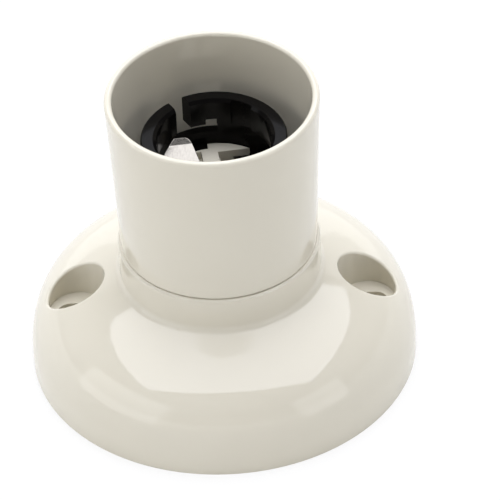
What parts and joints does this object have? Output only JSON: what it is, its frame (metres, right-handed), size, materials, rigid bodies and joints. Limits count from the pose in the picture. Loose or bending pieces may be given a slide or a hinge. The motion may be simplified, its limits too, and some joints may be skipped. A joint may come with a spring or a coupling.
{
  "type": "batten lampholder",
  "caption": "Straight batten lampholder: domed base with slotted fixing wells, screw-on tapered skirt, and a black bayonet barrel with sprung leaf contacts.",
  "frame": {"origin": "centre of the mounting face, at the bottom of the base", "axes": "+Z is the lamp's axis, out of the mouth of the skirt; X runs through the two fixing wells"},
  "size_m": [0.076, 0.076, 0.0633],
  "materials": {
    "ivory_plastic": "glossy moulded thermoplastic",
    "black_plastic": "satin moulded thermoset",
    "nickel_leaf": "bright nickel-plated bronze strip",
    "brass": "machined brass",
    "plated_steel": "zinc-plated steel"
  },
  "bodies": {
    "base": {"base": "ivory_plastic", "bayonet_barrel": "black_plastic", "loop_terminal_block": "brass", "barrel_screw_right": "plated_steel", "barrel_screw_left": "plated_steel", "terminal_riser_right": "brass", "terminal_riser_left": "brass", "terminal_block_right": "brass", "terminal_block_left": "brass", "terminal_rivet_right": "brass", "terminal_rivet_left": "brass"},
    "skirt": {"skirt": "ivory_plastic"},
    "contact_right": {"contact_leaf_right": "nickel_leaf"},
    "contact_left": {"contact_leaf_left": "nickel_leaf"},
    "clamp_right": {"terminal_screw_right": "plated_steel"},
    "clamp_left": {"terminal_screw_left": "plated_steel"},
    "clamp_loop": {"loop_terminal_screw": "plated_steel"}
  },
  "joints": [
    {"name": "skirt_lift", "type": "slide", "parent": "base", "child": "skirt", "axis": [0, 0, 1], "range_m": [0, 0.036]},
    {"name": "contact_right_press", "type": "hinge", "parent": "base", "child": "contact_right", "pos_m": [0.00538, 0.00789, 0.0406], "axis": [0.9925, 0.1219, 0], "range_deg": [0, 21], "stiffness_Nm_per_rad": 0.05},
    {"name": "contact_left_press", "type": "hinge", "parent": "base", "child": "contact_left", "pos_m": [-0.00538, -0.00789, 0.0406], "axis": [-0.9925, -0.1219, 0], "range_deg": [0, 21], "stiffness_Nm_per_rad": 0.05},
    {"name": "clamp_right_tighten", "type": "slide", "parent": "base", "child": "clamp_right", "axis": [0, 0, 1], "range_m": [0, 0.0024]},
    {"name": "clamp_left_tighten", "type": "slide", "parent": "base", "child": "clamp_left", "axis": [0, 0, 1], "range_m": [0, 0.0024]},
    {"name": "clamp_loop_tighten", "type": "slide", "parent": "base", "child": "clamp_loop", "axis": [0, 0, 1], "range_m": [0, 0.0024]}
  ]
}
